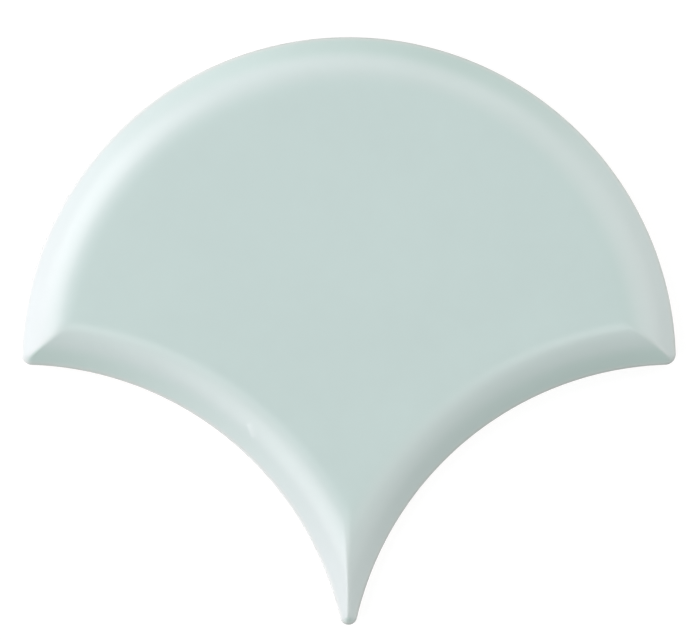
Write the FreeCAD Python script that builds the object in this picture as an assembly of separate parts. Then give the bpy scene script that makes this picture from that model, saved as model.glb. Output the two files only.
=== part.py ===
# Fish scale wall tile: one ceramic piece, pressed in a die, glazed on its face and fired.
# Millimetres. The tile lies on its back with the glazed face up (+Z) and its tip towards -Y.
# The origin is the centre of the round top's arc, on the back face.
import FreeCAD, Part
import math
import os

from FreeCAD import Vector

# Outline, seen from the glazed face
ARC_RADIUS = 75.0  # round top, half of the tile's width
CORNER_RADIUS = 2.5  # rounding of the two side corners
TIP_RADIUS = 2.0  # rounding of the tip

# Section, from the rim to the raised field
THICKNESS = 9.0  # back face to flat field
BEVEL_WIDTH = 11.8  # rim to flat field, in plan
BEVEL_ANGLE = 32.0  # slope of the bevel above its edge, in degrees
CREST_RADIUS = 17.0  # soft turn from the bevel into the field
EDGE_RADIUS = 0.9  # turn from the side wall into the bevel
BACK_CHAMFER = 0.6  # bevel of the back's edge

# Keyed back: shallow square pockets between ribs, which the adhesive grips
POCKET_DEPTH = 0.6
RIB_PITCH = 12.0  # rib to rib, with two ribs crossing at the origin
RIB_WIDTH = 2.5
BACK_BORDER = 7.0  # plain band between the rim and the pockets
LEAST_POCKET_SHARE = 0.3  # a pocket that the border cuts to less than this share is left out

# How far a cutting tool passes the face that it cuts
OVERCUT = 2.0

NODE = "tile"
UP = Vector(0, 0, 1)
ORIGIN = Vector(0, 0, 0)
FULL_TURN = 360.0

# A neighbour's round top nests in each scoop, so a scoop has that radius and that centre
scoop_radius = ARC_RADIUS
scoop_left = Vector(-ARC_RADIUS, -ARC_RADIUS, 0)
scoop_right = Vector(ARC_RADIUS, -ARC_RADIUS, 0)


def rim_to_field(place):
    """Edges of the section: up the side wall from the back and over the bevel to the field.

    place turns a distance in from the rim and a height into a point of the section.
    """
    slope = math.radians(BEVEL_ANGLE)
    crest_run = BEVEL_WIDTH - CREST_RADIUS * math.sin(slope)
    crest_height = THICKNESS - CREST_RADIUS * (1 - math.cos(slope))
    edge_run = EDGE_RADIUS * (1 - math.sin(slope))
    edge_height = crest_height - (crest_run - edge_run) * math.tan(slope)
    wall_height = edge_height - EDGE_RADIUS * math.cos(slope)

    # Each arc's middle point lies half way through its turn
    crest_turn = slope / 2
    crest_middle = place(
        BEVEL_WIDTH - CREST_RADIUS * math.sin(crest_turn),
        THICKNESS - CREST_RADIUS * (1 - math.cos(crest_turn)),
    )
    edge_turn = (slope + math.pi / 2) / 2
    edge_middle = place(
        EDGE_RADIUS * (1 - math.sin(edge_turn)),
        wall_height + EDGE_RADIUS * math.cos(edge_turn),
    )

    back = place(BACK_CHAMFER, 0)
    wall_foot = place(0, BACK_CHAMFER)
    wall_top = place(0, wall_height)
    edge_top = place(edge_run, edge_height)
    crest_foot = place(crest_run, crest_height)
    field = place(BEVEL_WIDTH, THICKNESS)
    curves = [
        Part.LineSegment(back, wall_foot),
        Part.LineSegment(wall_foot, wall_top),
        Part.Arc(wall_top, edge_middle, edge_top),
        Part.LineSegment(edge_top, crest_foot),
        Part.Arc(crest_foot, crest_middle, field),
    ]
    return [curve.toShape() for curve in curves]


def section_face(place, closing):
    """Face of the section in the XZ plane: rim to field, closed by straight lines through points."""
    points = [place(BEVEL_WIDTH, THICKNESS), *closing, place(BACK_CHAMFER, 0)]
    return Part.Face(Part.Wire(rim_to_field(place) + Part.makePolygon(points).Edges))


def turned_rim(radius, turn):
    """Solid with the tile's section, turned about Z with its rim at that radius."""
    inner = min(0, radius - BEVEL_WIDTH - OVERCUT)
    section = section_face(
        lambda inward, height: Vector(radius - inward, 0, height),
        [Vector(inner, 0, THICKNESS), Vector(inner, 0, 0)],
    )
    # A small rounding ends at its axis, before the section reaches the field
    outer_half = Part.makeBox(radius, 2 * OVERCUT, THICKNESS, Vector(0, -OVERCUT, 0))
    return section.common(outer_half).Faces[0].revolve(ORIGIN, UP, turn)


def scoop_cutter(centre):
    """Tool that leaves a scoop's wall and bevel: all that lies between its axis and the section."""
    top = THICKNESS + OVERCUT
    section = section_face(
        lambda inward, height: Vector(scoop_radius + inward, 0, height),
        [
            Vector(scoop_radius + BEVEL_WIDTH, 0, top),
            Vector(0, 0, top),
            Vector(0, 0, -OVERCUT),
            Vector(scoop_radius + BACK_CHAMFER, 0, -OVERCUT),
        ],
    )
    cutter = section.revolve(ORIGIN, UP, FULL_TURN)
    cutter.translate(centre)
    return cutter


def side_corner_centre(scoop):
    """Centre of a side corner's rounding, which touches the round top from within and a scoop from outside."""
    to_origin = ARC_RADIUS - CORNER_RADIUS
    to_scoop = scoop_radius + CORNER_RADIUS
    span = scoop.Length
    along = (to_origin**2 - to_scoop**2 + span**2) / (2 * span)
    across = math.sqrt(to_origin**2 - along**2)
    towards = scoop / span
    side = math.copysign(1, scoop.x)
    return towards * along + Vector(-towards.y, towards.x, 0) * side * across


def tip_centre():
    """Centre of the tip's rounding, on the tile's middle line and touching both scoops from outside."""
    to_scoop = scoop_radius + TIP_RADIUS
    return Vector(0, scoop_right.y + math.sqrt(to_scoop**2 - scoop_right.x**2), 0)


def rounded_corners():
    """Each corner's centre and radius, and the directions, anticlockwise, that its rounding runs between."""
    right = side_corner_centre(scoop_right)
    left = side_corner_centre(scoop_left)
    tip = tip_centre()
    return [
        (right, CORNER_RADIUS, scoop_right - right, right),
        (left, CORNER_RADIUS, left, scoop_left - left),
        (tip, TIP_RADIUS, scoop_left - tip, scoop_right - tip),
    ]


def set_at_corner(shape, centre, first):
    """Turns a sector that starts on +X to its first direction and moves it to its corner."""
    shape.rotate(ORIGIN, UP, math.degrees(math.atan2(first.y, first.x)))
    shape.translate(centre)
    return shape


def tile_body():
    """The bevelled tile with a plain back.

    Each rim is an arc, so each bevel is turned about that arc's own centre, and neighbouring bevels
    meet in a mitre. At a corner the sharp end is cut off as a sector, and a turned one replaces it.
    """
    body = turned_rim(ARC_RADIUS, FULL_TURN)
    roundings = []
    for centre, radius, first, last in rounded_corners():
        turn = math.degrees(math.atan2(last.y, last.x) - math.atan2(first.y, first.x)) % FULL_TURN
        sharp_end = Part.makeCylinder(ARC_RADIUS, THICKNESS + 2 * OVERCUT, Vector(0, 0, -OVERCUT), UP, turn)
        body = body.cut(set_at_corner(sharp_end, centre, first))
        roundings.append(set_at_corner(turned_rim(radius, turn), centre, first))
    for scoop in (scoop_left, scoop_right):
        body = body.cut(scoop_cutter(scoop))
    return body.fuse(roundings).removeSplitter()


def back_pockets():
    """Square pockets between the back's ribs, cut short where they would reach into the plain border."""
    zone = Part.makeCylinder(ARC_RADIUS - BACK_BORDER, POCKET_DEPTH)
    for scoop in (scoop_left, scoop_right):
        zone = zone.cut(Part.makeCylinder(scoop_radius + BACK_BORDER, POCKET_DEPTH, scoop))
    side = RIB_PITCH - RIB_WIDTH
    count = math.ceil(ARC_RADIUS / RIB_PITCH)
    pockets = []
    for column in range(-count, count):
        for row in range(-count, count):
            low = Vector(column * RIB_PITCH + RIB_WIDTH / 2, row * RIB_PITCH + RIB_WIDTH / 2, 0)
            pocket = Part.makeBox(side, side, POCKET_DEPTH, low)
            whole = pocket.Volume
            pocket = pocket.common(zone)
            if pocket.Volume > LEAST_POCKET_SHARE * whole:
                pockets.append(pocket)
    return pockets


def main():
    tile = tile_body().cut(back_pockets())
    os.makedirs("parts", exist_ok=True)
    tile.exportStep(f"parts/{NODE}.step")
    box = tile.optimalBoundingBox(False)
    print(f"{NODE}: {box.XLength:.2f} x {box.YLength:.2f} x {box.ZLength:.2f} mm, {tile.Volume:.0f} mm3")
    print(f"valid {tile.isValid()}, solids {len(tile.Solids)}, faces {len(tile.Faces)}")


main()
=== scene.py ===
import math

import bmesh
import bpy
import numpy as np
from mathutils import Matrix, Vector, geometry


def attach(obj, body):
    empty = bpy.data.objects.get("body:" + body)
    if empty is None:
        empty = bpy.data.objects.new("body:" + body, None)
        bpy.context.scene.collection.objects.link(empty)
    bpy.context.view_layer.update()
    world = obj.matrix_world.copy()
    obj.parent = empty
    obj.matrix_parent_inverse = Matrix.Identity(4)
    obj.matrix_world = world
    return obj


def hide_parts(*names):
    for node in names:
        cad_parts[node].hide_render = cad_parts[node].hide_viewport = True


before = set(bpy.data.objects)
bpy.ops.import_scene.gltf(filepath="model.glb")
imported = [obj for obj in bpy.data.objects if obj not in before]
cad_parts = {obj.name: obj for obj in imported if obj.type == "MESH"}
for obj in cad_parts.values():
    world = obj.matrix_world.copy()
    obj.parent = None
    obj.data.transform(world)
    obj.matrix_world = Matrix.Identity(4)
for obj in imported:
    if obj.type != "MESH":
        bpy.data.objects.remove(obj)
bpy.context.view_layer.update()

# Fish scale wall tile: glazed on its face and down most of its side wall, bare fired clay below and behind.
# Lengths are in metres. The tile lies on its back with its face up (+Z) and its tip towards -Y.
# The origin is the centre of the round top's arc, on the back face.
MM = 0.001

# Outline: roundings of the two side corners and of the tip
CORNER_RADIUS = 2.5 * MM
TIP_RADIUS = 2.0 * MM

# Section from the rim to the flat field
BEVEL_WIDTH = 11.8 * MM
BEVEL_ANGLE = math.radians(32)
CREST_RADIUS = 17.0 * MM
EDGE_RADIUS = 0.9 * MM
BACK_CHAMFER = 0.6 * MM
LEVELLING = 0.65 * MM  # radius over which the melted glaze evened out the mitres, near the edge
LEVELLING_RISE = 0.6  # that radius for each length in from the edge, until it is reached
LEVELLING_SPREAD = 0.06  # and what it gains for each length in from the rim
RIDGE_WIDTH = 1.5 * MM  # how little two bevels' depths differ where the glaze starts to thin on their mitre

# Glaze on the side wall: it ends in a wavy rolled lip, and the bare clay below is set back
GLAZE_LINE = 1.7 * MM
GLAZE_LINE_WAVE = 0.4 * MM
GLAZE_WAVES = ((0.45, 5, 0.7), (0.35, 12, 2.1), (0.2, 29, 4.0))  # share, count round the rim, start
GLAZE_THICKNESS = 0.14 * MM
GLAZE_LIP = 0.3 * MM
GLAZE_POOL = 1.4 * MM  # height above the lip over which the glaze that ran down is thicker
EDGE_THINNING = 1.3 * MM  # distance from the rim's edge, both ways, over which the glaze is thinner
TOASTED_BAND = 0.7 * MM  # height below the lip over which the firing toasted the bare clay
PAINTED_SHADE_FULL = 3.0 * MM  # depth from the rim up to which the painted shade on a bevel that faces along Y is whole
PAINTED_SHADE_END = 5.2 * MM  # and the depth where it is gone, below the crest
PAINTED_HIGHLIGHT_FULL = 4.5 * MM  # depth up to which the painted highlight on a bevel that faces along X is whole
PAINTED_HIGHLIGHT_END = 8.5 * MM  # and the depth where it is gone

# Blister that the firing left in the glaze of the left scoop's bevel: a head and a lower trail, steep on
# the left and gentle on the right
BLISTER_HEAD = np.array([-22.93, -13.93]) * MM
BLISTER_TAIL = np.array([-22.02, -16.35]) * MM
BLISTER_STEEP = 0.3 * MM
BLISTER_GENTLE = 0.85 * MM
BLISTER_END = 0.4 * MM
BLISTER_HEIGHT = 0.06 * MM
BLISTER_TAPER = 0.4  # share of its height that the trail loses by its end

# Keyed back
POCKET_DEPTH = 0.6 * MM
RIB_PITCH = 12.0 * MM
RIB_WIDTH = 2.5 * MM
BACK_BORDER = 7.0 * MM
LEAST_POCKET_SHARE = 0.3
POCKET_CORNER_POWER = 16  # the higher, the tighter a pocket's corners
POCKET_INSETS = np.array([0, 0.04, 0.12, 0.22, 0.29, 0.42]) * MM  # of its lip, wall, foot and floor
POCKET_DEPTH_SHARES = np.array([0, 0.08, 0.25, 0.82, 0.95, 1, 1])  # at those insets and in the middle

# Grid: columns stand on the rim, rows run from the back over the bevel
COLUMN_PITCH = 0.8 * MM
RIDGE_COLUMN_PITCH = 0.38 * MM
TIP_COLUMN_PITCH = 0.22 * MM
CORNER_COLUMN_TURN = math.radians(5)
BLISTER_COLUMN_PITCH = 0.14 * MM
BLISTER_ZONE = 1.9 * MM
EDGE_ZONE = 1.3 * MM
EDGE_ROWS = 12
EDGE_ROW_POWER = 1.7  # the higher, the closer the rows crowd to the rim
BEVEL_ROWS = 44
FIELD_ROWS = 10
LIP_ROWS = 6
BARE_WALL_SHARES = (0, 0.3, 0.6, 0.9)  # rows, as shares of the way from the foot to the lip
GLAZED_WALL_SHARES = (0.35, 0.7)  # and from the lip to the edge
POCKET_COLUMNS = 40
POCKET_SAMPLES = 40  # across a pocket, to find what the border leaves of it
LEVELLING_RINGS = 3
LEVELLING_TURNS = 12
SHARP_TURN = math.radians(40)
WELD = 0.001 * MM

# Colours, linear
FIELD_GLAZE = (0.522, 0.640, 0.615, 1)
BEVEL_GLAZE = (0.547, 0.643, 0.624, 1)  # thinner where it ran off the crest
PAINTED_SHADE_GLAZE = (0.507, 0.632, 0.598, 1)  # painted shade: darker and greener on the outer band of the bevels that face along Y
PAINTED_HIGHLIGHT_GLAZE = (0.575, 0.645, 0.633, 1)  # painted highlight: paler and greyer on the bevels that face along X
EDGE_GLAZE = (0.61, 0.65, 0.622, 1)  # thinnest on the rim's edge
# paler over the blister: thinner glaze, with a painted highlight of the glint on its crown
POOLED_GLAZE = (0.42, 0.56, 0.53, 1)
BLISTER_HIGHLIGHT_GLAZE = (0.63, 0.715, 0.70, 1)  # drawn thin over the blister
BARE_CLAY = (0.70, 0.63, 0.53, 1)
# Painted shade: the clay darker in the pockets
POCKET_SHADE_CLAY = (0.60, 0.53, 0.43, 1)
TOASTED_CLAY = (0.56, 0.42, 0.29, 1)
KILN_WASH = (0.80, 0.775, 0.72, 1)
CLAY_SPECK = (0.30, 0.22, 0.15, 1)

# Shared looks: layers of noise, and specks
CLOUD_DETAIL = 2.0
FINE_CLOUD_DETAIL = 3.0
FINE_CLOUD_SCALE = 7.0  # against the broad clouds
FINE_CLOUD_SHARE = 0.4
CLOUD_MEAN = 0.7  # of both layers together
SWELL_DETAIL = 1.0
GRAIN_DETAIL = 5.0
GRAIN_SCALE = 4.5  # against the swell
SPECK_CORE = 0.6  # share of a speck's radius that is whole
SPECK_BLUR = 0.001

# Glaze: where its colour changes and by what share, its clouds, pinholes, swell and gloss
FIELD_GLAZE_ENDS = (7.4, 11.2)  # depth in millimetres where the field's colour starts, and is whole
EDGE_SHARE = 0.75
RIDGE_SHARE = 0.18
BLISTER_HIGHLIGHT_SHARE = 0.8
GLAZE_CLOUDS = {"Scale": 38.0, "Amount": 0.05}
PINHOLES = {"Scale": 95.0, "Size": 0.12, "Clear": 0.93}
PINHOLE_SHARE = 0.25
PINHOLE_DEPTH = 0.5  # against the swell's height
GLAZE_SWELL = {"Scale": 260.0, "Grain": 0.08}
GLAZE_BUMP = {"Strength": 0.10, "Distance": 0.06 * MM}
GLAZE_SWELL_ENDS = (0.3, 0.8)
GLAZE_ROUGHNESS = (0.13, 0.19)  # at those two ends
GLAZE_IOR = 1.5

# Bare clay: the same, with its kiln wash
POCKET_SHADE_START = 0.1 * MM  # height above the flat back where the pockets' painted shade starts
TOASTED_SHARE = 0.8
CLAY_CLOUDS = {"Scale": 60.0, "Amount": 0.35}
RUSTY_SPECKS = {"Scale": 420.0, "Size": 0.9, "Clear": 0.76}
SPECK_SHARE = 0.6
CLAY_SWELL = {"Scale": 900.0, "Grain": 0.8}
CLAY_BUMP = {"Strength": 0.5, "Distance": 0.12 * MM}
CLAY_SWELL_ENDS = (0.5, 1.3)
CLAY_ROUGHNESS = (0.78, 0.92)
WASH_SHARE = 0.75
WASH_HEIGHT = 0.04 * MM  # above the flat back, up to which the wash reaches
WASH_STRETCH = (0.35, 1.0, 1.0)  # draws its patches out along X
WASH_PATCHES = {"Scale": 85.0, "Grain": 0.45}
WASH_ENDS = (0.62, 0.84)

# Photograph: scale at the rim, and the tile's point in the middle of the picture
IMAGE_WIDTH_PX = 700
PX_PER_MM = 4.3668
PICTURE_CENTRE = Vector((0.35 * MM, 10.23 * MM, 0))
CAMERA_HEIGHT = 1.6
SENSOR_WIDTH = 36.0

# Studio lamps
LAMP_DISTANCE = 1.2
LAMP_PEAK = 9 / 4  # brightness of a lamp's middle against its mean
WINDOW_LIGHT = (1, 0.868, 0.953)
AMBIENT_LEVEL = 0.11

# Floor
FLOOR_REACH = 3.0
FLOOR_GAP = 0.05 * MM
FLOOR_GREY = 0.25
FLOOR_GLOW = 0.82

cad_points = np.array([vertex.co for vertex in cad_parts["tile"].data.vertices])
arc_radius = float(np.hypot(cad_points[:, 0], cad_points[:, 1]).max())
thickness = float(cad_points[:, 2].max())
origin = np.zeros(2)
scoop_left = np.array([-arc_radius, -arc_radius])
scoop_right = np.array([arc_radius, -arc_radius])

# Section points: where the crest starts, where the edge ends, and the top of the side wall
crest_run = BEVEL_WIDTH - CREST_RADIUS * math.sin(BEVEL_ANGLE)
crest_height = thickness - CREST_RADIUS * (1 - math.cos(BEVEL_ANGLE))
edge_run = EDGE_RADIUS * (1 - math.sin(BEVEL_ANGLE))
edge_height = crest_height - (crest_run - edge_run) * math.tan(BEVEL_ANGLE)
wall_height = edge_height - EDGE_RADIUS * math.cos(BEVEL_ANGLE)


def side_meeting(depth):
    """Right corner's mitre: the centre of a circle of radius depth that touches the round top from
    within and the right scoop from outside. It lies at arc_radius - depth from the origin and at
    arc_radius + depth from the scoop's centre, so it is where two circles cross."""
    span = math.hypot(*scoop_right)
    along = ((arc_radius - depth) ** 2 - (arc_radius + depth) ** 2 + span**2) / (2 * span)
    across = np.sqrt((arc_radius - depth) ** 2 - along**2)
    towards = scoop_right / span
    sideways = np.array([-towards[1], towards[0]])
    return along[:, None] * towards + across[:, None] * sideways


def tip_meeting(depth):
    """Tip's mitre: on the middle line, at arc_radius + depth from both scoops' centres."""
    height = np.sqrt((arc_radius + depth) ** 2 - arc_radius**2)
    return np.stack([np.zeros_like(depth), height - arc_radius], axis=1)


def direction(angle):
    """Unit vectors at these angles."""
    return np.stack([np.cos(angle), np.sin(angle)], axis=-1)


def angle_to(point, centre):
    """Angle of each point as seen from the centre, from 0 to a full turn."""
    away = np.asarray(point) - centre
    return np.arctan2(away[..., 1], away[..., 0]) % math.tau


def between(first, last, step):
    """Even values strictly between two ends, about a step apart."""
    count = max(2, round(abs(last - first) / step))
    return np.linspace(first, last, count + 1)[1:-1]


def arc_columns(centre, radius, inward, angles, reach):
    """Columns that stand on one arc of the rim: foot = centre + radius * direction, and an inward normal
    of the direction times inward, which is 1 on a scoop and -1 on a round stretch."""
    out = direction(angles)
    return {
        "foot": centre + radius * out,
        "normal": inward * out,
        "reach": np.broadcast_to(reach, angles.shape),
    }


def contour_angles(centre, first, last):
    """Even angles along a bevel between its two mitres, with closer ones across the blister."""
    step = COLUMN_PITCH / arc_radius
    angles = between(angle_to(first, centre), angle_to(last, centre), step)
    if centre is not scoop_left:
        return angles
    middle = angle_to((BLISTER_HEAD + BLISTER_TAIL) / 2, centre)
    half = BLISTER_ZONE / arc_radius
    close = between(middle - half, middle + half, BLISTER_COLUMN_PITCH / arc_radius)
    apart = angles[np.abs(angles - middle) > half]
    return np.sort(np.concatenate([apart, close]))[:: 1 if first[0] > last[0] else -1]


corner_centre = side_meeting(np.array([CORNER_RADIUS]))[0]
left_corner_centre = corner_centre * [-1, 1]
tip_centre = tip_meeting(np.array([TIP_RADIUS]))[0]
# Rounded corners: centre, radius, and the directions from the centre to both ends of the rounding
roundings = [
    (corner_centre, CORNER_RADIUS, corner_centre, scoop_right - corner_centre),
    (left_corner_centre, CORNER_RADIUS, left_corner_centre, scoop_left - left_corner_centre),
    (tip_centre, TIP_RADIUS, scoop_left - tip_centre, scoop_right - tip_centre),
]


def rim_columns():
    """Columns round the whole rim, anticlockwise from the right corner.

    Where two bevels meet in a mitre, the columns of both reach up to the same mitre points, so the two
    bevels share them. On a rounded corner the columns reach its centre, and elsewhere the field."""
    corner_steps = round((BEVEL_WIDTH - CORNER_RADIUS) / RIDGE_COLUMN_PITCH)
    tip_steps = round((BEVEL_WIDTH - TIP_RADIUS) / TIP_COLUMN_PITCH)
    corner_depth = np.linspace(CORNER_RADIUS, BEVEL_WIDTH, corner_steps + 1)
    tip_depth = np.linspace(TIP_RADIUS, BEVEL_WIDTH, tip_steps + 1)
    right = side_meeting(corner_depth)
    left = right * [-1, 1]
    tip = tip_meeting(tip_depth)

    def mitre(centre, inward, points, depth):
        """Columns on an arc that face a mitre's points, each as deep as its point."""
        return arc_columns(centre, arc_radius, inward, angle_to(points, centre), depth)

    def contour(centre, inward, first, last):
        """Columns on an arc from one mitre's inner end to the next, as deep as the bevel."""
        angles = contour_angles(centre, first, last)
        return arc_columns(centre, arc_radius, inward, angles, BEVEL_WIDTH)

    def rounding(centre, radius, first, last):
        """Columns on a rounded corner, by even turns between its two ends, as deep as its radius."""
        start = angle_to(first, centre)
        end = start + (angle_to(last, centre) - start) % math.tau
        return arc_columns(centre, radius, -1, between(start, end, CORNER_COLUMN_TURN), radius)

    stretches = [
        mitre(origin, -1, right, corner_depth),
        contour(origin, -1, right[-1], left[-1]),
        mitre(origin, -1, left[::-1], corner_depth[::-1]),
        rounding(left[0], CORNER_RADIUS, 2 * left[0], scoop_left),
        mitre(scoop_left, 1, left, corner_depth),
        contour(scoop_left, 1, left[-1], tip[-1]),
        mitre(scoop_left, 1, tip[::-1], tip_depth[::-1]),
        rounding(tip[0], TIP_RADIUS, scoop_left, scoop_right),
        mitre(scoop_right, 1, tip, tip_depth),
        contour(scoop_right, 1, tip[-1], right[-1]),
        mitre(scoop_right, 1, right[::-1], corner_depth[::-1]),
        rounding(right[0], CORNER_RADIUS, scoop_right, 2 * right[0]),
    ]
    return {key: np.concatenate([stretch[key] for stretch in stretches]) for key in stretches[0]}


def section_height(depth):
    """Height of the face at a depth in from the rim: a round edge, then a straight slope, then an arc
    that turns level where the field starts."""
    edge = wall_height + np.sqrt(np.maximum(EDGE_RADIUS**2 - (EDGE_RADIUS - depth) ** 2, 0))
    slope = crest_height - (crest_run - depth) * math.tan(BEVEL_ANGLE)
    to_field = np.clip(BEVEL_WIDTH - depth, 0, CREST_RADIUS)
    crest = thickness - CREST_RADIUS + np.sqrt(CREST_RADIUS**2 - to_field**2)
    return np.where(depth < edge_run, edge, np.where(depth < crest_run, slope, crest))


def rim_depths(points):
    """Depth of each point in from the round top's arc and from each scoop's arc."""
    return np.stack(
        [
            arc_radius - np.linalg.norm(points, axis=-1),
            np.linalg.norm(points - scoop_left, axis=-1) - arc_radius,
            np.linalg.norm(points - scoop_right, axis=-1) - arc_radius,
        ]
    )


def outline_depth(points):
    """Depth of each point in from the outline: the least of its depths from the three arcs, or on a rounded
    corner the radius less the distance from its centre. A point lies on a corner where it is the centre
    plus positive shares of the two directions in which the rounding ends."""
    depth = rim_depths(points).min(axis=0)
    for centre, radius, first, last in roundings:
        away = points - centre
        shares = away @ np.linalg.inv(np.stack([first, last]))
        on_corner = (shares > 0).all(axis=-1)
        depth = np.where(on_corner, radius - np.linalg.norm(away, axis=-1), depth)
    return depth


def ridge_closeness(points):
    """1 on a mitre, falling to 0 where its two bevels' depths differ by the ridge's width."""
    nearest, second = np.sort(rim_depths(points), axis=0)[:2]
    return np.clip(1 - (second - nearest) / RIDGE_WIDTH, 0, 1)


def blister_share(points):
    """Share of the blister's height at each point: a bell of the distance across the line from head to
    tail, narrow on the left and wide on the right, times a bell of the distance past its ends, and less
    by an even part along the line."""
    line = BLISTER_TAIL - BLISTER_HEAD
    length = np.linalg.norm(line)
    along = (points - BLISTER_HEAD) @ line / length
    across = (points - BLISTER_HEAD) @ [-line[1], line[0]] / length
    width = np.where(across > 0, BLISTER_GENTLE, BLISTER_STEEP)
    on_line = np.clip(along, 0, length)
    bells = np.exp(-((across / width) ** 2) - ((along - on_line) / BLISTER_END) ** 2)
    return bells * (1 - BLISTER_TAPER * on_line / length)


def face_height(points, depth):
    """Height of the glazed face: the mean of the section's height over a small disc, as the melted glaze
    evened it out, plus the blister. The disc is nothing on the round edge and grows with depth, and rings
    of equal area stand for it."""
    radius = np.clip(LEVELLING_RISE * (depth - edge_run), 0, LEVELLING + LEVELLING_SPREAD * depth)
    rings = np.sqrt((np.arange(LEVELLING_RINGS) + 0.5) / LEVELLING_RINGS)
    turns = direction(np.linspace(0, math.tau, LEVELLING_TURNS, endpoint=False))
    offsets = (rings[:, None, None] * turns).reshape(-1, 2)
    total = sum(section_height(outline_depth(points + radius[..., None] * offset)) for offset in offsets)
    return total / len(offsets) + BLISTER_HEIGHT * blister_share(points)


def glaze_line(columns):
    """Height of the glaze's lower lip at each column: a level and slow waves round the rim."""
    run = np.linalg.norm(np.roll(columns["foot"], -1, axis=0) - columns["foot"], axis=1)
    turn = math.tau * np.cumsum(run) / run.sum()
    wave = sum(share * np.sin(count * turn + start) for share, count, start in GLAZE_WAVES)
    return GLAZE_LINE + GLAZE_LINE_WAVE * wave


def wall_rows(columns):
    """Depth and height of each wall row at each column: the back's chamfer, the bare clay up to the glaze
    line, the glaze's lip as a quarter turn outwards and up, and the glazed wall. Also gives the number
    of the first glazed row."""
    line = glaze_line(columns)
    flat = np.ones_like(line)
    foot = BACK_CHAMFER - GLAZE_THICKNESS
    rows = [(BACK_CHAMFER * flat, 0 * flat)]
    rows += [(GLAZE_THICKNESS * flat, foot + share * (line - foot)) for share in BARE_WALL_SHARES]
    first_glazed = len(rows)
    for turn in np.linspace(0, math.pi / 2, LIP_ROWS):
        depth = GLAZE_THICKNESS * (1 - math.sin(turn))
        rows.append((depth * flat, line + GLAZE_LIP * (1 - math.cos(turn))))
    lip = line + GLAZE_LIP
    rows += [(0 * flat, lip + share * (wall_height - lip)) for share in GLAZED_WALL_SHARES]
    depth, height = (np.stack(part) for part in zip(*rows))
    return depth, height, first_glazed


def bevel_depths(columns):
    """Depth of each face row at each column: closer rows over the edge, then even shares of the way from
    the edge zone to the column's reach."""
    crowded = np.linspace(0, 1, EDGE_ROWS)[:, None] ** EDGE_ROW_POWER
    edge = EDGE_ZONE * crowded * np.ones_like(columns["reach"])
    share = np.linspace(0, 1, BEVEL_ROWS + 1)[1:, None]
    return np.concatenate([edge, EDGE_ZONE + share * (columns["reach"] - EDGE_ZONE)])


def with_height(points, height):
    """Points of the plan, lifted to their heights."""
    return np.concatenate([points, np.broadcast_to(height, points.shape[:-1])[..., None]], axis=-1)


def rim_grid(columns):
    """Grid from the back's edge up the wall and over the bevel to the field or a mitre. A row's plan point
    is the column's foot moved by the row's depth along the inward normal.

    With it come each point's depth and its shares, which fall evenly with height or with the distance from
    the edge: of the pooled glaze above the lip, the toasted clay below it and the edge's thinner glaze. Two
    more fall evenly with depth and are painted light: painted shade on the bevels that face along Y, times
    the square of the rim normal's y, and a painted highlight on those that face along X, times the fourth
    power of its x."""
    wall_depth, wall, first_glazed = wall_rows(columns)
    face_depth = bevel_depths(columns)
    depth = np.concatenate([wall_depth, face_depth])
    plan = columns["foot"] + depth[..., None] * columns["normal"]
    height = np.concatenate([wall, face_height(plan[len(wall):], face_depth)])
    above_lip = height - glaze_line(columns)
    from_edge = np.concatenate([wall_height - wall, face_depth])
    facing_x, facing_y = columns["normal"].T
    shares = {
        "pool": np.clip(1 - above_lip / GLAZE_POOL, 0, 1),
        "toast": np.clip(1 + above_lip / TOASTED_BAND, 0, 1),
        "edge": np.clip(1 - from_edge / EDGE_THINNING, 0, 1),
        # Painted shade on the bevels that face along Y (run), and a painted highlight on those that face
        # along X
        "run": facing_y**2 * np.clip((PAINTED_SHADE_END - depth) / (PAINTED_SHADE_END - PAINTED_SHADE_FULL), 0, 1),
        "painted_highlight": facing_x**4 * np.clip((PAINTED_HIGHLIGHT_END - depth) / (PAINTED_HIGHLIGHT_END - PAINTED_HIGHLIGHT_FULL), 0, 1),
    }
    return with_height(plan, height), depth, shares, first_glazed


def field_grid(columns):
    """Grid of the flat field: its contour drawn in towards a middle point in even shares."""
    contour = columns["reach"] >= BEVEL_WIDTH
    edge = columns["foot"][contour] + BEVEL_WIDTH * columns["normal"][contour]
    middle = np.array([0, BEVEL_WIDTH])
    share = np.linspace(0, 1, FIELD_ROWS + 1)[:, None, None]
    plan = edge + share * (middle - edge)
    depth = rim_depths(plan).min(axis=0)
    return with_height(plan, face_height(plan, depth)), depth


def pocket_middles():
    """Middle of what the plain border leaves of each square between the ribs, and the square's own
    middle, for the squares that keep enough of their area. Both come from an even grid of points over
    the square and whether each lies inside the border."""
    count = math.ceil(arc_radius / RIB_PITCH)
    steps = (np.arange(-count, count) + 0.5) * RIB_PITCH
    squares = np.stack(np.meshgrid(steps, steps), axis=-1).reshape(-1, 2)
    half = (RIB_PITCH - RIB_WIDTH) / 2
    spread = np.linspace(-half, half, POCKET_SAMPLES)
    points = squares[:, None] + np.stack(np.meshgrid(spread, spread), axis=-1).reshape(-1, 2)
    inside = rim_depths(points).min(axis=0) > BACK_BORDER
    kept = inside.mean(axis=1) > LEAST_POCKET_SHARE
    inside = inside[kept][..., None]
    return (points[kept] * inside).sum(axis=1) / inside.sum(axis=1), squares[kept]


def circle_stops(start, ray, centre, radius, leaving):
    """Distance along each ray from each start to a circle, where it leaves or enters it: the root of a
    quadratic, or far away where the ray misses."""
    away = start - centre
    along = away @ ray.T
    under = along**2 - (away**2).sum(axis=1)[:, None] + radius**2
    root = np.sqrt(np.maximum(under, 0))
    if leaving:
        return root - along
    return np.where((under > 0) & (along < 0), -along - root, arc_radius)


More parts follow.
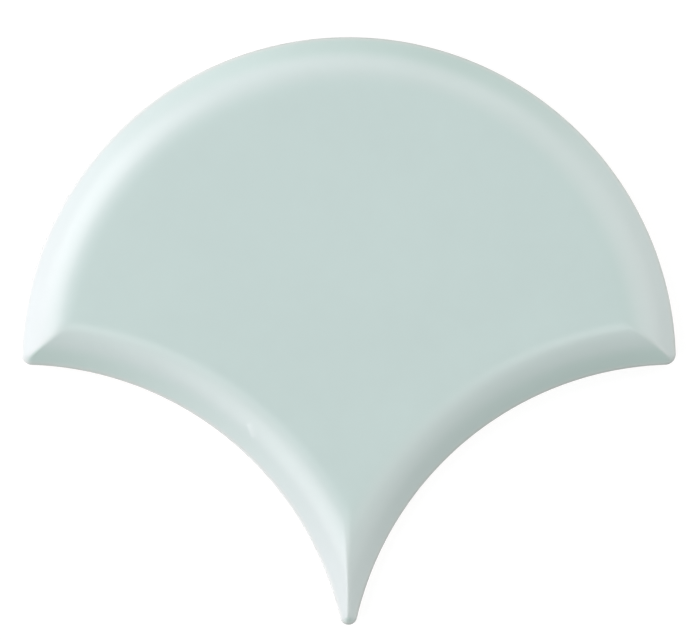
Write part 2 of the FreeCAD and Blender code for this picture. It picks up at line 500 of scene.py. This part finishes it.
def pocket_outlines(middle, square, ray):
    """Distance from each pocket's middle to its outline along each ray: the soft least of the distances
    to the square's sides and to the border's arcs, which is the sum of their powers of -p, to the
    power of -1 / p. It rounds the pocket's corners."""
    half = (RIB_PITCH - RIB_WIDTH) / 2
    stops = [circle_stops(middle, ray, origin, arc_radius - BACK_BORDER, True)]
    for scoop in (scoop_left, scoop_right):
        stops.append(circle_stops(middle, ray, scoop, arc_radius + BACK_BORDER, False))
    for axis in (0, 1):
        ahead = np.where(np.abs(ray[:, axis]) > WELD, ray[:, axis], WELD)
        side = square[:, axis, None] + half * np.sign(ahead)
        stops.append(np.minimum((side - middle[:, axis, None]) / ahead, arc_radius))
    power = -POCKET_CORNER_POWER
    return (np.stack(stops) ** power).sum(axis=0) ** (1 / power)


def pocket_grids():
    """Grids of the back's pockets, shaped (pocket, row, column, 3). A row is the outline drawn in by an
    inset, at a share of the depth: a rounded lip, a leaning wall, a rounded foot and a flat floor."""
    middle, square = pocket_middles()
    ray = direction(np.linspace(0, math.tau, POCKET_COLUMNS, endpoint=False))
    outline = pocket_outlines(middle, square, ray)
    radius = outline[:, None] - POCKET_INSETS[:, None]
    radius = np.concatenate([radius, np.zeros_like(radius[:, :1])], axis=1)
    plan = middle[:, None, None] + radius[..., None] * ray
    return with_height(plan, POCKET_DEPTH * POCKET_DEPTH_SHARES[:, None])


def grid_faces(rows, columns):
    """Quads of a grid whose points are stored row by row and whose columns close into a ring."""
    index = np.arange(rows * columns).reshape(rows, columns)
    ahead = np.roll(index, -1, axis=1)
    return np.stack([index[:-1], ahead[:-1], ahead[1:], index[1:]], axis=-1).reshape(-1, 4)


def back_plane(rim_loop, pockets):
    """Points and triangles of the flat back: the Delaunay triangles between the points of its edge and of
    the pockets' outlines, without those that lie in a pocket."""
    loops = [rim_loop, *pockets[:, 0]]
    starts = np.cumsum([0] + [len(loop) for loop in loops])
    outlines = [range(first, last) for first, last in zip(starts, starts[1:])]
    plan = [Vector(point[:2]) for loop in loops for point in loop]
    found = geometry.delaunay_2d_cdt(plan, [], outlines, 0, WELD / 10)
    points, triangles, sources = found[0], found[2], found[5]
    between_pockets = [corners for corners, source in zip(triangles, sources) if source == [0]]
    return with_height(np.array(points), 0), np.array(between_pockets)


def tile_mesh():
    """The whole tile as one closed mesh: the rim, the field, the pockets and the flat back between them.

    Material 0 is glaze, from the lip upwards, and 1 is bare clay. Eight attributes follow the surface:
    rim_depth in millimetres, and pool, toast, edge, run, painted_highlight, ridge and blister, from 0 to 1.
    Run is painted shade, and painted_highlight is a painted highlight. The ridge fades out evenly over the
    inner half of the bevel."""
    columns = rim_columns()
    rim, rim_depth, shares, first_glazed = rim_grid(columns)
    field, field_depth = field_grid(columns)
    pockets = pocket_grids()
    back, back_triangles = back_plane(rim[0], pockets)

    grids = [rim, field, *pockets]
    points = np.concatenate([grid.reshape(-1, 3) for grid in grids] + [back])
    sizes = [grid.shape[0] * grid.shape[1] for grid in grids]
    starts = np.concatenate([[0], np.cumsum(sizes)])
    quads = [start + grid_faces(*grid.shape[:2]) for start, grid in zip(starts, grids)]
    faces = np.concatenate(quads).tolist() + (starts[-1] + back_triangles).tolist()
    bare = np.ones(len(faces), np.int32)
    bare[first_glazed * rim.shape[1] : len(quads[0]) + len(quads[1])] = 0

    off_rim = np.zeros(len(points) - sizes[0])
    depth = np.concatenate([rim_depth.ravel(), field_depth.ravel(), off_rim[sizes[1] :]])
    attributes = {
        "rim_depth": depth / MM,
        "ridge": ridge_closeness(points[:, :2]) * np.clip(2 - 2 * depth / BEVEL_WIDTH, 0, 1),
        "blister": blister_share(points[:, :2]),
    }
    attributes |= {name: np.concatenate([share.ravel(), off_rim]) for name, share in shares.items()}
    mesh = bpy.data.meshes.new("tile_body")
    mesh.from_pydata(points, [], faces)
    mesh.polygons.foreach_set("material_index", bare)
    for name, values in attributes.items():
        layer = mesh.attributes.new(name, "FLOAT", "POINT")
        layer.data.foreach_set("value", values.astype(np.float32))
    close_mesh(mesh)
    mesh.polygons.foreach_set("use_smooth", np.ones(len(mesh.polygons), bool))
    mesh.set_sharp_from_angle(angle=SHARP_TURN)
    return mesh


def close_mesh(mesh):
    """Joins the points that grids share, drops the flat faces that this leaves and turns all faces out."""
    work = bmesh.new()
    work.from_mesh(mesh)
    bmesh.ops.remove_doubles(work, verts=work.verts, dist=WELD)
    bmesh.ops.dissolve_degenerate(work, edges=work.edges, dist=WELD / 2)
    bmesh.ops.recalc_face_normals(work, faces=work.faces)
    work.to_mesh(mesh)
    work.free()


def feed(tree, socket, value):
    """Sets an input to a value, or links it to another node's socket."""
    if isinstance(value, bpy.types.NodeSocket):
        tree.links.new(value, socket)
    else:
        socket.default_value = value


def add_node(tree, kind, inputs=None, **settings):
    """New node with its settings, whose inputs are set to a value or linked to another node's socket."""
    new = tree.nodes.new(kind)
    for name, value in settings.items():
        setattr(new, name, value)
    for name, value in (inputs or {}).items():
        feed(tree, new.inputs[name], value)
    return new


def math_node(tree, operation, *values):
    """Output of a math node on these values or sockets."""
    return add_node(tree, "ShaderNodeMath", dict(enumerate(values)), operation=operation).outputs[0]


def ramp(tree, value, low, high, to_low=0.0, to_high=1.0):
    """Value carried smoothly from one range to another."""
    ends = {"Value": value, "From Min": low, "From Max": high, "To Min": to_low, "To Max": to_high}
    return add_node(tree, "ShaderNodeMapRange", ends, interpolation_type="SMOOTHSTEP").outputs["Result"]


def noise(tree, place, scale, detail):
    """Value of a noise texture, about 0.5 and from 0 to 1."""
    inputs = {"Vector": place, "Scale": scale, "Detail": detail}
    return add_node(tree, "ShaderNodeTexNoise", inputs).outputs["Fac"]


def blend_colours(tree, share, first, second):
    """Colour between two, by a share from 0 to 1."""
    mix = add_node(tree, "ShaderNodeMix", data_type="RGBA")
    ends = {"Factor": share, "A": first, "B": second}
    sockets = {socket.name: socket for socket in mix.inputs if socket.enabled}
    for name, value in ends.items():
        feed(tree, sockets[name], value)
    return next(socket for socket in mix.outputs if socket.enabled)


def node_group(name, inputs, outputs):
    """Empty shader group with named sockets, given as name: kind, and its input and output nodes."""
    tree = bpy.data.node_groups.new(name, "ShaderNodeTree")
    for socket, kind in inputs.items():
        tree.interface.new_socket(socket, in_out="INPUT", socket_type=kind)
    for socket, kind in outputs.items():
        tree.interface.new_socket(socket, in_out="OUTPUT", socket_type=kind)
    return tree, tree.nodes.new("NodeGroupInput").outputs, tree.nodes.new("NodeGroupOutput").inputs


def mottle_group():
    """Group that makes a colour cloudy: broad and fine noise darken or lighten it by up to an amount."""
    inputs = {
        "Colour": "NodeSocketColor",
        "Place": "NodeSocketVector",
        "Scale": "NodeSocketFloat",
        "Amount": "NodeSocketFloat",
    }
    tree, given, result = node_group("fired_mottle", inputs, {"Colour": "NodeSocketColor"})
    fine_scale = math_node(tree, "MULTIPLY", given["Scale"], FINE_CLOUD_SCALE)
    broad = noise(tree, given["Place"], given["Scale"], CLOUD_DETAIL)
    fine = noise(tree, given["Place"], fine_scale, FINE_CLOUD_DETAIL)
    cloud = math_node(tree, "MULTIPLY_ADD", fine, FINE_CLOUD_SHARE, broad)
    centred = math_node(tree, "SUBTRACT", cloud, CLOUD_MEAN)
    level = math_node(tree, "MULTIPLY_ADD", centred, given["Amount"], 1.0)
    factors = {0: given["Colour"], "Scale": level}
    shaded = add_node(tree, "ShaderNodeVectorMath", factors, operation="SCALE")
    tree.links.new(shaded.outputs["Vector"], result["Colour"])
    return tree


def grain_group():
    """Group that gives a height: noise at a scale, with finer grain on top by a share."""
    inputs = {"Place": "NodeSocketVector", "Scale": "NodeSocketFloat", "Grain": "NodeSocketFloat"}
    tree, given, result = node_group("surface_grain", inputs, {"Height": "NodeSocketFloat"})
    fine_scale = math_node(tree, "MULTIPLY", given["Scale"], GRAIN_SCALE)
    swell = noise(tree, given["Place"], given["Scale"], SWELL_DETAIL)
    grain = noise(tree, given["Place"], fine_scale, GRAIN_DETAIL)
    height = math_node(tree, "MULTIPLY_ADD", grain, given["Grain"], swell)
    tree.links.new(height, result["Height"])
    return tree


def speck_group():
    """Group that gives a mask of round specks: one in each cell of a grid of random points, as large as
    the cell's own random number lets it be, and none in the share of cells that stays clear."""
    inputs = {
        "Place": "NodeSocketVector",
        "Scale": "NodeSocketFloat",
        "Size": "NodeSocketFloat",
        "Clear": "NodeSocketFloat",
    }
    tree, given, result = node_group("fired_specks", inputs, {"Mask": "NodeSocketFloat"})
    cells = add_node(tree, "ShaderNodeTexVoronoi", {"Vector": given["Place"], "Scale": given["Scale"]})
    chance = add_node(tree, "ShaderNodeSeparateColor", {0: cells.outputs["Color"]}).outputs[0]
    room = math_node(tree, "SUBTRACT", chance, given["Clear"])
    radius = math_node(tree, "MULTIPLY", math_node(tree, "MAXIMUM", room, 0.0), given["Size"])
    inner = math_node(tree, "MULTIPLY", radius, SPECK_CORE)
    outer = math_node(tree, "ADD", radius, SPECK_BLUR)
    mask = ramp(tree, cells.outputs["Distance"], inner, outer, 1.0, 0.0)
    some = math_node(tree, "GREATER_THAN", room, 0.0)
    tree.links.new(math_node(tree, "MULTIPLY", mask, some), result["Mask"])
    return tree


def group_node(tree, group, inputs):
    """Outputs of a shader group, placed in a material with its own values."""
    return add_node(tree, "ShaderNodeGroup", inputs, node_tree=group).outputs


def new_material(name):
    """Empty material: its tree, its shader and the object's own coordinates."""
    material = bpy.data.materials.new(name)
    material.use_nodes = True
    tree = material.node_tree
    place = tree.nodes.new("ShaderNodeTexCoord").outputs["Object"]
    return material, tree, tree.nodes["Principled BSDF"], place


def surface_share(tree, name):
    """Value of one of the mesh's attributes."""
    return add_node(tree, "ShaderNodeAttribute", attribute_name=name).outputs["Fac"]


def part_of(tree, value, share):
    """A value times a share."""
    return math_node(tree, "MULTIPLY", value, share)


def glaze_material(mottle, grain, specks):
    """Pale mint glaze: thinner and greyer on the crest and the rim, deeper where it pooled above its lower
    lip, faintly cloudy, with a few pinholes and the low swell of a fired melt. Painted light on the bevels:
    a painted highlight makes those that face along X paler and greyer, and painted shade makes the outer
    band of those that face along Y darker."""
    material, tree, shader, place = new_material("glaze")
    on_field = ramp(tree, surface_share(tree, "rim_depth"), *FIELD_GLAZE_ENDS)
    colour = blend_colours(tree, on_field, BEVEL_GLAZE, FIELD_GLAZE)
    # Painted shade on the bevels that face along Y, and a painted highlight on those that face along X
    colour = blend_colours(tree, surface_share(tree, "run"), colour, PAINTED_SHADE_GLAZE)
    colour = blend_colours(tree, surface_share(tree, "painted_highlight"), colour, PAINTED_HIGHLIGHT_GLAZE)
    on_edge = ramp(tree, surface_share(tree, "edge"), 0.0, 1.0, 0.0, EDGE_SHARE)
    colour = blend_colours(tree, on_edge, colour, EDGE_GLAZE)
    on_ridge = part_of(tree, surface_share(tree, "ridge"), RIDGE_SHARE)
    colour = blend_colours(tree, on_ridge, colour, EDGE_GLAZE)
    colour = blend_colours(tree, surface_share(tree, "pool"), colour, POOLED_GLAZE)
    # Paler over the blister: thinner glaze, with a painted highlight of its glint
    blister_highlight = part_of(tree, surface_share(tree, "blister"), BLISTER_HIGHLIGHT_SHARE)
    colour = blend_colours(tree, blister_highlight, colour, BLISTER_HIGHLIGHT_GLAZE)
    colour = group_node(tree, mottle, {"Colour": colour, "Place": place, **GLAZE_CLOUDS})["Colour"]
    holes = group_node(tree, specks, {"Place": place, **PINHOLES})["Mask"]
    colour = blend_colours(tree, part_of(tree, holes, PINHOLE_SHARE), colour, POOLED_GLAZE)
    tree.links.new(colour, shader.inputs["Base Color"])

    swell = group_node(tree, grain, {"Place": place, **GLAZE_SWELL})["Height"]
    height = math_node(tree, "MULTIPLY_ADD", holes, -PINHOLE_DEPTH, swell)
    bump = add_node(tree, "ShaderNodeBump", {"Height": height, **GLAZE_BUMP})
    tree.links.new(bump.outputs["Normal"], shader.inputs["Normal"])
    roughness = ramp(tree, swell, *GLAZE_SWELL_ENDS, *GLAZE_ROUGHNESS)
    tree.links.new(roughness, shader.inputs["Roughness"])
    shader.inputs["IOR"].default_value = GLAZE_IOR
    return material


def kiln_wash(tree, grain, place, height):
    """Share of the chalky wash that keeps a tile from sticking in the kiln: in patches drawn out along X,
    the way it went through, and only on the flat back, where the height is nothing."""
    drawn_out = add_node(tree, "ShaderNodeMapping", {"Vector": place, "Scale": WASH_STRETCH})
    patches = {"Place": drawn_out.outputs["Vector"], **WASH_PATCHES}
    left = ramp(tree, group_node(tree, grain, patches)["Height"], *WASH_ENDS)
    return part_of(tree, left, ramp(tree, height, 0.0, WASH_HEIGHT, WASH_SHARE, 0.0))


def clay_material(mottle, grain, specks):
    """Bare fired clay: warm buff, cloudy and grainy, with rusty specks, toasted just below the glaze,
    chalky with kiln wash on the flat back, and darker in the pockets with painted shade."""
    material, tree, shader, place = new_material("bare_clay")
    height = add_node(tree, "ShaderNodeSeparateXYZ", {0: place}).outputs["Z"]
    # Painted shade: the clay darkens with the height above the flat back, into the pockets
    pocket_shade = ramp(tree, height, POCKET_SHADE_START, POCKET_DEPTH)
    colour = blend_colours(tree, pocket_shade, BARE_CLAY, POCKET_SHADE_CLAY)
    toasted = part_of(tree, surface_share(tree, "toast"), TOASTED_SHARE)
    colour = blend_colours(tree, toasted, colour, TOASTED_CLAY)
    colour = group_node(tree, mottle, {"Colour": colour, "Place": place, **CLAY_CLOUDS})["Colour"]
    rust = group_node(tree, specks, {"Place": place, **RUSTY_SPECKS})["Mask"]
    colour = blend_colours(tree, part_of(tree, rust, SPECK_SHARE), colour, CLAY_SPECK)
    colour = blend_colours(tree, kiln_wash(tree, grain, place, height), colour, KILN_WASH)
    tree.links.new(colour, shader.inputs["Base Color"])

    swell = group_node(tree, grain, {"Place": place, **CLAY_SWELL})["Height"]
    bump = add_node(tree, "ShaderNodeBump", {"Height": swell, **CLAY_BUMP})
    tree.links.new(bump.outputs["Normal"], shader.inputs["Normal"])
    roughness = ramp(tree, swell, *CLAY_SWELL_ENDS, *CLAY_ROUGHNESS)
    tree.links.new(roughness, shader.inputs["Roughness"])
    return material


def seen_directly(tree):
    """1 for rays that show the surroundings as they are: from the camera, a gloss or a clear body."""
    path = tree.nodes.new("ShaderNodeLightPath").outputs
    seen = math_node(tree, "MAXIMUM", path["Is Camera Ray"], path["Is Glossy Ray"])
    return math_node(tree, "MAXIMUM", seen, path["Is Transmission Ray"])


def build_world(level):
    """White surroundings as seen directly, and a low even light from all round."""
    world = bpy.data.worlds.new("studio")
    world.use_nodes = True
    tree = world.node_tree
    background = tree.nodes["Background"]
    background.inputs["Color"].default_value = (1, 1, 1, 1)
    strength = math_node(tree, "MAXIMUM", seen_directly(tree), level)
    tree.links.new(strength, background.inputs["Strength"])
    bpy.context.scene.world = world


def floor_material():
    """White floor: a glow as seen directly, and a weak dull surface that takes the tile's shadow. It is
    clear from beneath, and clear to the lamp there, so the tile's back can be looked at."""
    material, tree, shader, _ = new_material("floor")
    shader.inputs["Base Color"].default_value = (FLOOR_GREY, FLOOR_GREY, FLOOR_GREY, 1)
    shader.inputs["Roughness"].default_value = 1.0
    shader.inputs["Specular IOR Level"].default_value = 0.0
    shader.inputs["Emission Color"].default_value = (1, 1, 1, 1)
    glow = math_node(tree, "MULTIPLY", seen_directly(tree), FLOOR_GLOW)
    tree.links.new(glow, shader.inputs["Emission Strength"])

    beneath = tree.nodes.new("ShaderNodeNewGeometry").outputs["Backfacing"]
    to_lamp = tree.nodes.new("ShaderNodeLightPath").outputs["Is Shadow Ray"]
    clear = tree.nodes.new("ShaderNodeBsdfTransparent").outputs[0]
    ends = {0: math_node(tree, "MAXIMUM", beneath, to_lamp), 1: shader.outputs[0], 2: clear}
    mixed = add_node(tree, "ShaderNodeMixShader", ends)
    tree.links.new(mixed.outputs[0], tree.nodes["Material Output"].inputs["Surface"])
    return material


def build_floor():
    """Square floor a hair below the tile's back."""
    mesh = bpy.data.meshes.new("floor")
    signs = np.array([(-1, -1), (1, -1), (1, 1), (-1, 1)])
    mesh.from_pydata(with_height(FLOOR_REACH * signs, -FLOOR_GAP), [], [(0, 1, 2, 3)])
    mesh.materials.append(floor_material())
    floor = bpy.data.objects.new("floor", mesh)
    bpy.context.scene.collection.objects.link(floor)


def softbox(name, azimuth, tilt, width, height, power, colour=(1, 1, 1), mirrored=True):
    """Rectangular lamp that shines on the tile, placed by its azimuth and its angle from overhead. It shows
    in the glaze only where it is mirrored.

    Its brightness falls off towards its edges as (1 - u^2)(1 - v^2), with u and v from -1 to 1 across
    it, times 9 / 4, which keeps its power."""
    data = bpy.data.lights.new(name, "AREA")
    data.shape = "RECTANGLE"
    data.size = width
    data.size_y = height
    data.energy = power
    data.color = colour
    data.use_nodes = True
    tree = data.node_tree
    across = tree.nodes.new("ShaderNodeNewGeometry").outputs["Parametric"]
    sides = add_node(tree, "ShaderNodeSeparateXYZ", {0: across}).outputs
    fall = LAMP_PEAK
    for side in (sides["X"], sides["Y"]):
        centred = math_node(tree, "MULTIPLY_ADD", side, 2.0, -1.0)
        square = math_node(tree, "MULTIPLY", centred, centred)
        fall = math_node(tree, "MULTIPLY", math_node(tree, "SUBTRACT", 1.0, square), fall)
    tree.links.new(fall, tree.nodes["Emission"].inputs["Strength"])

    lamp = bpy.data.objects.new(name, data)
    turn, lean = math.radians(azimuth), math.radians(tilt)
    towards = Vector((math.sin(lean) * math.cos(turn), math.sin(lean) * math.sin(turn), math.cos(lean)))
    lamp.location = LAMP_DISTANCE * towards
    lamp.rotation_euler = towards.to_track_quat("Z", "Y").to_euler()
    lamp.visible_camera = False
    lamp.visible_glossy = mirrored
    bpy.context.scene.collection.objects.link(lamp)


def build_lamps():
    """Studio: low windows and softboxes on the left, at the front left and on the right, a weak softbox
    beyond the round top, two small lamps overhead for the crests, and one beneath for the back."""
    softbox(
        "left_window",
        azimuth=172,
        tilt=84,
        width=0.8,
        height=0.34,
        power=15.2,
        colour=WINDOW_LIGHT,
        mirrored=False,
    )
    softbox("left_softbox", azimuth=150, tilt=46, width=1.0, height=0.9, power=3.98)
    softbox("front_window", azimuth=215, tilt=84, width=0.6, height=0.3, power=1.65, mirrored=False)
    softbox("front_softbox", azimuth=210, tilt=38, width=1.0, height=0.9, power=3.59)
    softbox("right_softbox", azimuth=12, tilt=42, width=2.2, height=1.5, power=6.85)
    softbox("right_window", azimuth=40, tilt=80, width=1.4, height=0.4, power=3.35, mirrored=False)
    softbox("far_softbox", azimuth=86, tilt=48, width=1.5, height=0.8, power=1.97)
    softbox("crest_lamp", azimuth=270, tilt=14, width=0.6, height=0.35, power=0.85)
    softbox("right_crest_lamp", azimuth=320, tilt=24, width=0.5, height=0.4, power=0.34)
    softbox("under_lamp", azimuth=320, tilt=158, width=1.0, height=1.0, power=15.0)


def build_camera():
    """Looks straight down on the tile through a long lens, at the photograph's scale and framing."""
    data = bpy.data.cameras.new("camera")
    data.sensor_width = SENSOR_WIDTH
    width = IMAGE_WIDTH_PX / PX_PER_MM * MM
    data.lens = SENSOR_WIDTH * (CAMERA_HEIGHT - wall_height) / width
    camera = bpy.data.objects.new("camera", data)
    camera.location = PICTURE_CENTRE + Vector((0, 0, CAMERA_HEIGHT))
    bpy.context.scene.collection.objects.link(camera)
    bpy.context.scene.camera = camera


def build_tile():
    """The tile in its two finishes, in place of the plain solid."""
    mesh = tile_mesh()
    groups = (mottle_group(), grain_group(), speck_group())
    mesh.materials.append(glaze_material(*groups))
    mesh.materials.append(clay_material(*groups))
    tile = bpy.data.objects.new("tile_body", mesh)
    bpy.context.scene.collection.objects.link(tile)
    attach(tile, "root")
    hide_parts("tile")


build_tile()
build_camera()
build_world(AMBIENT_LEVEL)
build_floor()
build_lamps()
bpy.context.scene.view_settings.view_transform = "Standard"
